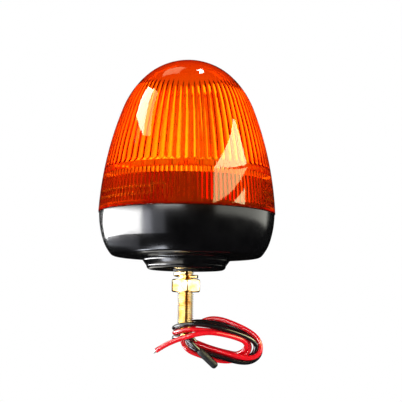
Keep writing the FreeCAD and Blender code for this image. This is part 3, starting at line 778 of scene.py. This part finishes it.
ribs = [
    bars("ribs", RIB_LOW, RIB_HEIGHT, SECTOR_END - SECTOR, SECTOR - TAB_SECTOR, 3, RIB_PITCH),
    bars("rails", tab_low, TAB_FRAME, tab_start, TAB_SECTOR, 2, TAB_HEIGHT - TAB_FRAME, 12),
]
for start in (tab_start, SECTOR_END - edge_sweep):
    height = TAB_HEIGHT - 2 * TAB_FRAME
    ribs.append(bars("stile", tab_low + TAB_FRAME, height, start, edge_sweep, segments=3))
join(fluted_lens, ribs)
hand_over(fluted_lens, "lens", "amber_lens", "lens")

# %% [markdown]
# ## The stud's thread
# The stud is M10 with a pitch of 1.5 mm. The recipe takes a flat grid and rolls it
# up: across the grid goes round the stud, and up the grid goes along it, climbing
# one pitch a turn. Eight rows to a pitch put a row on each corner of the thread's
# profile, whose crest and root are flat for an eighth of the pitch. The grid overruns
# both ends, where it is held at the end's height and turned in as far as the bore.
# A Screw modifier makes a thread too, but its ends would still have to be cut.

# %% Thread recipe
STUD_RADIUS, ROOT_RADIUS, TIP_RADIUS, BORE = 5.0, 4.08, 4.2, 3.5
TIP, HEAD_LOW, THREAD_TOP, HEAD_HIGH = -41.0, 3.0, 4.0, 8.0
PITCH_MM, OVERRUN, HALF_FLAT, THREAD_COLUMNS, ROWS_PER_PITCH = 1.5, 1.9, 1 / 16, 96, 8


def rolled_thread_recipe():
    tree, given = new_recipe(
        "rolled thread", Crest=STUD_RADIUS * MM, Root=ROOT_RADIUS * MM, Bore=BORE * MM, Pitch=PITCH_MM * MM,
        Low=TIP * MM, High=THREAD_TOP * MM, Tip=TIP_RADIUS * MM,
    )
    calc = sums(tree)
    rows = int(((THREAD_TOP - TIP) / PITCH_MM + 2 * OVERRUN) * ROWS_PER_PITCH)
    grid = add_node(tree, "GeometryNodeMeshGrid", {
        "Size X": 1.0, "Size Y": float(rows), "Vertices X": THREAD_COLUMNS + 1, "Vertices Y": rows + 1,
    })
    x, y, _ = split(tree, add_node(tree, "GeometryNodeInputPosition").outputs[0])
    turn = calc("ADD", x, 0.5)
    step = calc("DIVIDE", calc("ADD", y, rows / 2), float(ROWS_PER_PITCH))
    start = calc("SUBTRACT", given["Low"], calc("MULTIPLY", given["Pitch"], OVERRUN))
    height = calc("ADD", start, calc("MULTIPLY", calc("ADD", step, turn), given["Pitch"]))
    away = calc("ABSOLUTE", calc("SUBTRACT", calc("FRACT", calc("ADD", step, 0.5 - HALF_FLAT)), 0.5))
    tooth = spread(tree, away, given["Root"], given["Crest"], 0.5 - HALF_FLAT, HALF_FLAT)
    past_low = calc("SUBTRACT", height, given["Low"])
    past_high = calc("SUBTRACT", given["High"], height)
    end_cone = calc("ADD", given["Tip"], calc("MINIMUM", past_low, past_high))
    radius = calc("MAXIMUM", calc("MINIMUM", tooth, end_cone), given["Bore"])
    held = calc("MAXIMUM", calc("MINIMUM", height, given["High"]), given["Low"])
    angle = calc("MULTIPLY", turn, 2 * math.pi)
    x, y = (calc("MULTIPLY", radius, calc(kind, angle)) for kind in ("COSINE", "SINE"))
    moved = add_node(tree, "GeometryNodeSetPosition", {
        "Geometry": grid.outputs["Mesh"], "Position": combine(tree, x, y, held),
    })
    merged = add_node(tree, "GeometryNodeMergeByDistance", {
        "Geometry": moved.outputs[0], "Distance": 2 * MICRON,
    })
    return end_recipe(tree, merged.outputs[0], given["Finish"])


thread_recipe = rolled_thread_recipe()

# %% [markdown]
# ## Six-sided heads
# The nut and the stud's head are the same shape with other sizes: a hexagon whose
# corners are turned off by a cone at each end, which leaves the curved edges that
# every nut has. Points at equal turns along each ring make it: their radius follows
# the flats, and their height follows the cone. A prism cut with two cones would be
# the same shape, but with long thin faces that shade badly.

# %% Hexagon helper
FLATS, CORNER_WEAR, FACE_EDGE, CONE = 17.0, 0.12, 0.3, math.radians(30.0)


def hexagon(builder, low, high, bore, corner_turn, countersink):
    corner = FLATS / 2 / math.cos(math.radians(30)) - CORNER_WEAR
    face = FLATS / 2 - FACE_EDGE

    def reach(turn):
        off_corner = (turn * 360.0 - corner_turn) % 60.0
        return min(corner, FLATS / 2 / math.cos(math.radians(off_corner - 30.0)))

    def drop(turn):
        return (reach(turn) - face) * math.tan(CONE)

    rings = [ring_of(builder, 96, place) for place in (
        lambda turn: (bore, low + countersink), lambda turn: (bore + countersink, low),
        lambda turn: (face, low), lambda turn: (reach(turn), low + drop(turn)),
        lambda turn: (reach(turn), high - drop(turn)), lambda turn: (face, high),
        lambda turn: (bore + countersink, high), lambda turn: (bore, high - countersink),
    )]
    skin(builder, rings + rings[:1])


# %% [markdown]
# ## The stud
# The thread comes from the recipe. Its head is inside the base, and the bore that
# the leads run through is a plain skin from the head to the tip. All three join in
# one mesh, since the stud is a single turned piece.

# %% Stud
threaded_stud = empty_piece("threaded_stud")
follow_recipe(threaded_stud, thread_recipe, "yellow_zinc")
builder = bmesh.new()
hexagon(builder, HEAD_LOW, HEAD_HIGH, BORE, corner_turn=0.0, countersink=0.4)
bore = [ring_of(builder, THREAD_COLUMNS, lambda turn, end=end: (BORE, end)) for end in (THREAD_TOP, TIP)]
skin(builder, bore)
join(threaded_stud, [piece_from(builder, "stud_head", "yellow_zinc")])
hand_over(threaded_stud, "root", "yellow_zinc", "hollow_stud")

# %% [markdown]
# ## The nut
# The nut sits with a corner 5.5 degrees right of the front. Its edges are a little
# worn, which a narrow bevel gives. The stud hides its thread, so its bore is plain.

# %% Nut
NUT_TOP, NUT_HEIGHT, NUT_BORE, EDGE_WEAR = -5.85, 8.0, 5.08, 0.2
builder = bmesh.new()
hexagon(builder, NUT_TOP - NUT_HEIGHT, NUT_TOP, NUT_BORE, corner_turn=5.5 + FRONT, countersink=0.5)
hex_nut = piece_from(builder, "hex_nut", "yellow_zinc", sharp=20.0)
bevel = hex_nut.modifiers.new("worn edges", "BEVEL")
bevel.limit_method, bevel.angle_limit = "ANGLE", math.radians(25)
bevel.width, bevel.segments = EDGE_WEAR * MM, 2
hand_over(hex_nut, "mounting_nut", "yellow_zinc", "mounting_nut")

# %% [markdown]
# ## The spring washer
# The washer is one turn of square bar with its ends sprung apart, so the recipe for
# it sweeps a rounded square along a spiral that rises a little. A ring with a slot
# cut out would be simpler, but it would lie flat.


# %% Washer
def split_ring_recipe():
    tree, given = new_recipe(
        "split ring", Middle=0.0064, Width=0.0026, Thickness=0.0022, Rise=0.0027, Bottom=-0.0058,
        Turn=348.0, Start=-68.0, Round=0.0003,
    )
    calc = sums(tree)
    spiral = add_node(tree, "GeometryNodeCurveSpiral", {
        "Resolution": 96, "Rotations": calc("DIVIDE", given["Turn"], 360.0), "Start Radius": given["Middle"],
        "End Radius": given["Middle"], "Height": given["Rise"], "Reverse": True,
    })
    upright = add_node(tree, "GeometryNodeSetCurveNormal", {"Curve": spiral.outputs[0]}, mode="Z_UP")
    section = rectangle(tree, given["Width"], given["Thickness"])
    lift = calc("ADD", given["Bottom"], calc("DIVIDE", given["Thickness"], 2.0))
    placed = add_node(tree, "GeometryNodeTransform", {
        "Geometry": sweep(tree, upright.outputs[0], section, given["Round"], 3),
        "Translation": combine(tree, z=lift), "Rotation": combine(tree, z=calc("RADIANS", given["Start"])),
    })
    return end_recipe(tree, placed.outputs[0], given["Finish"])


spring_washer = empty_piece("spring_washer")
follow_recipe(spring_washer, split_ring_recipe(), "yellow_zinc")
smooth(spring_washer.data, 50.0)
hand_over(spring_washer, "lock_washer", "yellow_zinc", "lock_washer")

# %% [markdown]
# ## The stripped end
# The red lead's stripped end is a twist of seven tinned strands: a seven-lobed
# section swept along a short line and turned as it goes. Seven wires could be wound
# one by one, but at 2 mm across only the lobes of the twist can be seen.

# %% Strands
TINNED_END = (-19.3, -5.65, -51.15)


def twisted_strands_recipe():
    tree, given = new_recipe(
        "twisted strands", Strands=7, Outer=0.00096, Valley=0.00074, Twist=1.6, Round=0.0001,
        Start=(0.0, 0.0, 0.0), End=(0.0, 0.0, 1.0),
    )
    line = add_node(tree, "GeometryNodeCurvePrimitiveLine", {"Start": given["Start"], "End": given["End"]})
    steps = add_node(tree, "GeometryNodeResampleCurve", {"Curve": line.outputs[0], "Count": 24})
    along = add_node(tree, "GeometryNodeSplineParameter").outputs["Factor"]
    tilted = add_node(tree, "GeometryNodeSetCurveTilt", {
        "Curve": steps.outputs[0], "Tilt": sums(tree)("MULTIPLY", along, given["Twist"]),
    })
    section = add_node(tree, "GeometryNodeCurveStar", {
        "Points": given["Strands"], "Inner Radius": given["Valley"], "Outer Radius": given["Outer"],
    })
    twist = sweep(tree, tilted.outputs[0], section.outputs[0], given["Round"], 3, limit=True)
    return end_recipe(tree, twist, given["Finish"])


tinned_strands = empty_piece("tinned_strands")
start, end = (tuple(MM * part for part in place) for place in (red_route[-1], TINNED_END))
follow_recipe(tinned_strands, twisted_strands_recipe(), "tinned_copper", Start=start, End=end)
hand_over(tinned_strands, "root", "tinned_copper", "red_lead_tip")

# %% [markdown]
# ## The sleeve
# The sleeve on the black lead is a shrunk tube: a lathed skin along a straight line,
# a little narrower where it grips the lead, with a rounded closed end. A thick curve
# with tapered ends would do too, but rings of points follow the profile exactly.

# %% Sleeve
SLEEVE_END, SLEEVE_LENGTH = (19.6, -7.4, -59.6), 14.95
SLEEVE_PROFILE = [
    (1.55, 0.0), (1.8, -0.02), (1.93, 0.12), (2.03, 0.6), (2.24, 1.4), (2.3, 2.4), (2.27, 6.0), (2.3, 10.0),
    (2.3, 12.8), (2.22, 13.5), (2.0, 14.15), (1.6, 14.6), (1.05, 14.85), (0.45, 14.94),
]


def sleeve():
    builder = bmesh.new()
    start, way = Vector(black_route[-1]), Vector(SLEEVE_END) - Vector(black_route[-1])
    stretched = way.length / SLEEVE_LENGTH
    profile = [(0.0, 0.0)] + [(radius, height * stretched) for radius, height in SLEEVE_PROFILE]
    rings = [ring_of(builder, 48 if radius else 1, lambda turn, spot=(radius, height): spot)
             for radius, height in profile + [(0.0, way.length)]]
    skin(builder, rings)
    stand = Matrix.Translation(start) @ way.to_track_quat("Z", "Y").to_matrix().to_4x4()
    bmesh.ops.transform(builder, matrix=stand, verts=builder.verts)
    return piece_from(builder, "shrink_sleeve", "black_sleeve", sharp=60.0)


shrink_sleeve = sleeve()
hand_over(shrink_sleeve, "root", "black_sleeve", "black_lead_sleeve")

# %% [markdown]
# ## The leads' finishes
# Now that the finishes exist, each lead gets its own, and hangs from the root body in
# place of the CAD nodes that stood for it.

RED_NODES = ("red_lead_start", "red_lead_end", "lead_hank")
BLACK_NODES = ("black_lead_start", "black_lead_end")

for piece, route, colour, length, gone, end_piece in (
    (red_lead, red_route, "red_lead", 0.339, RED_NODES, tinned_strands),
    (black_lead, black_route, "black_lead", 0.268, BLACK_NODES, shrink_sleeve),
):
    piece.data.materials.append(finishes[colour])
    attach(piece, "root")
    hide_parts(*gone)
print("cords", red_lead.name, "and", black_lead.name)

# %% [markdown]
# ## Lamps and surroundings
# Soft boxes light the beacon from high on the left, from the right and from low on
# the left. Each is an area lamp, placed by its azimuth from the front and its height
# above the horizon. Point lamps would be simpler, but their shadows are too hard.
# What the gloss shows is set apart from the lamps, further down.

# %% Lamps
LAMP_AIM = Vector((0.0, 0.0, 0.06))


def direction(azimuth, elevation):
    a, e = math.radians(azimuth), math.radians(elevation)
    return Vector((math.sin(a) * math.cos(e), -math.cos(a) * math.cos(e), math.sin(e)))


def soft_box(name, azimuth, elevation, distance, width, height, glow):
    """glow is the brightness of the box's face, so its power follows from its size."""
    lamp = bpy.data.lights.new(name, "AREA")
    lamp.shape, lamp.size, lamp.size_y = "RECTANGLE", width, height
    lamp.energy = glow * math.pi * width * height
    box = bpy.data.objects.new(name, lamp)
    way = direction(azimuth, elevation)
    box.location = LAMP_AIM + way * distance
    box.rotation_euler = way.to_track_quat("Z", "Y").to_euler()
    scene.collection.objects.link(box)
    box.visible_glossy = False


soft_box("key", -85.0, 39.0, 0.9, 0.10, 0.34, 26.0)
soft_box("fill", 62.0, 21.0, 1.0, 0.95, 0.34, 6.0)
soft_box("edge", -91.0, -10.0, 1.0, 1.3, 0.55, 2.5)
print("soft boxes", [light.name for light in bpy.data.lights])

# %% [markdown]
# ## White surroundings
# The photograph's background is plain white. The world is white to the camera and to
# rays that the gloss or the lens sends on, and dimmer as a light.

# %% World
AMBIENT = 0.85


def seen(tree):
    """1 for rays from the camera and those that gloss or the lens sends on, and 0 for the rest."""
    path = add_node(tree, "ShaderNodeLightPath")
    kinds = ("Camera", "Transmission", "Glossy")
    return sums(tree)("MAXIMUM", *(path.outputs[f"Is {kind} Ray"] for kind in kinds))


world = bpy.data.worlds.new("white surroundings")
scene.world = world
world.use_nodes = True
tree = world.node_tree
calc = sums(tree)
level = calc("ADD", calc("MULTIPLY", seen(tree), 1.0 - AMBIENT), AMBIENT)
fill(tree, tree.nodes["Background"], {"Color": WHITE, "Strength": level})
print("world lights at", AMBIENT)

# %% [markdown]
# ## The floor
# The floor is pale and takes the object's shadow close by, and further off it fades
# to the same white as the world.

# %% Floor
FLOOR_HEIGHT, FLOOR_SIZE = -0.15, 6.0
FADE_START, FADE_END = 0.25, 0.6

material, tree, shader = new_material("pale floor")
fill(tree, shader, {"Base Color": (0.8, 0.8, 0.8, 1.0), "Roughness": 0.9, "Specular IOR Level": 0.0})
calc = sums(tree)
x, y, _ = split(tree, object_place(tree))
away = calc("SQRT", calc("ADD", calc("POWER", x, 2.0), calc("POWER", y, 2.0)))
far = spread(tree, away, 0.0, 1.0, FADE_START, FADE_END)
white = add_node(tree, "ShaderNodeEmission", {"Color": WHITE, "Strength": 1.0})
mixed = add_node(tree, "ShaderNodeMixShader", {
    0: calc("MULTIPLY", seen(tree), far), 1: shader.outputs[0], 2: white.outputs[0],
})
fill(tree, tree.nodes["Material Output"], {"Surface": mixed.outputs[0]})

builder = bmesh.new()
bmesh.ops.create_grid(builder, x_segments=1, y_segments=1, size=FLOOR_SIZE)
bmesh.ops.translate(builder, vec=(0, 0, FLOOR_HEIGHT), verts=builder.verts)
in_scene("floor", mesh_from(builder, "floor", material))
print("floor at", FLOOR_HEIGHT, "m")

# %% [markdown]
# ## What the gloss shows
# Gloss shows the studio. A black tent that only reflections can see keeps the black
# base black and the lens deep. In it hang bright cards, also seen by reflections
# only, and each stands where the photograph's highlights say that one stood: the
# line of sight is mirrored at the surface, which gives the azimuth and the height of
# a card's corner. A picture of a studio could be mirrored instead, but cards can be
# aimed one by one. The one card behind the lens is seen through it.

# %% Card helpers
GLOSS, CLEAR = "glossy", "transmission"
CARD_COLUMNS, CARD_ROWS = 12, 4


def glowing(name, colour, strength):
    material, tree, shader = new_material(name)
    light = add_node(tree, "ShaderNodeEmission", {"Color": (*colour, 1.0), "Strength": strength})
    fill(tree, tree.nodes["Material Output"], {"Surface": light.outputs[0]})
    return material


def hang(name, builder, material, rays):
    board = in_scene(name, mesh_from(builder, name, material))
    for kind in ("camera", "diffuse", "glossy", "transmission", "volume_scatter", "shadow"):
        setattr(board, "visible_" + kind, kind == rays)


def card(name, corners, strength, colour=(1.0, 1.0, 1.0), distance=1.0, rays=GLOSS, aim=LAMP_AIM):
    """corners: azimuth and elevation of the four corners, in order round the card."""
    builder = bmesh.new()
    first, second, third, fourth = (Vector(corner) for corner in corners)
    rows = []
    for row in range(CARD_ROWS + 1):
        left, right = first.lerp(fourth, row / CARD_ROWS), second.lerp(third, row / CARD_ROWS)
        ways = [direction(*left.lerp(right, step / CARD_COLUMNS)) for step in range(CARD_COLUMNS + 1)]
        rows.append([builder.verts.new(aim + distance * way) for way in ways])
    for low, high in zip(rows, rows[1:]):
        for step in range(CARD_COLUMNS):
            builder.faces.new((low[step], low[step + 1], high[step + 1], high[step]))
    hang(name, builder, glowing(name, colour, strength), rays)


# %% [markdown]
# ## Tent and cards
# The tent is a box round everything. The kite and the panel are the two sharp
# highlights on the lens, the next ones are on its crown, and the base, the boss and
# the metal have cards of their own. A reflector near the stud keeps the strong card
# for the base out of the metal, so that the thread stays readable.

# %% Tent and cards
TENT_SIZE, TENT_MIDDLE, TENT_GLOW = (3.4, 3.4, 1.84), (0.0, 0.0, 0.78), 0.004
NEAR, STUD_AIM = 0.4, Vector((0.0, 0.0, -0.019))
CREAM, COOL = (1.0, 0.95, 0.5), (0.87, 0.9, 1.0)

builder = bmesh.new()
bmesh.ops.create_cube(builder, size=1.0)
bmesh.ops.scale(builder, vec=TENT_SIZE, verts=builder.verts)
bmesh.ops.translate(builder, vec=TENT_MIDDLE, verts=builder.verts)
hang("black_tent", builder, glowing("tent cloth", (1.0, 1.0, 1.0), TENT_GLOW), GLOSS)

card("kite", [(-115, 49), (-91, 53), (-73, 33), (-101, 35)], 16.0, (1.0, 1.0, 0.7))
card("kite_edge", [(-91, 53), (-75, 53), (-60, 34), (-73, 33)], 6.0, (1.0, 0.95, 0.3))
card("panel_high", [(82, 38), (85, 37), (88, 22), (35, 24)], 13.0, (1.0, 0.98, 0.5))
card("panel_low", [(35, 24), (88, 21), (44, 12), (32, 11)], 7.0, (1.0, 0.95, 0.4))
card("panel_end", [(78, 15), (79, 15), (77, 10), (59, 11)], 10.0, CREAM)
card("crown_arc", [(-118, 62), (-139, 60), (-172, 75), (-110, 80)], 1.6, CREAM)
card("crown_spot", [(150, 77), (147, 70), (130, 72), (110, 79)], 14.0)
card("base_white", [(-127, 1), (-55, -3), (-60, -26), (-136, -13)], 26.0, distance=NEAR)
card("base_edge", [(-55, -3), (-43, -4), (-46, -29), (-60, -26)], 6.0, COOL, NEAR)
card("base_fade", [(-43, -4), (-26, -5), (-28, -30), (-46, -29)], 1.5, COOL, NEAR)
card("base_low", [(-126, -15), (-62, -34), (-82, -52), (-136, -20)], 0.8, COOL, 0.25)
card("stud_reflector", [(-118, 26), (-8, 26), (-8, -26), (-118, -26)], 2.6, (1.0, 0.97, 0.9), 0.033,
     aim=STUD_AIM)
card("metal_right", [(36, 6), (125, 6), (125, -5), (36, -5)], 2.8, (1.0, 1.0, 0.9))
card("front_strip", [(-40, 8), (-6, 8), (-6, 2), (-40, 2)], 20.0)
card("front_warm", [(-6, 8), (34, 8), (34, 2), (-6, 2)], 0.7, (1.0, 0.4, 0.08))
card("boss_white", [(-104, -57), (-36, -57), (-36, -63), (-104, -63)], 14.0, COOL, 0.22)
card("back_glow", [(-177, 40), (-155, 40), (-155, 10), (-177, 10)], 7.0, distance=0.14, rays=CLEAR)
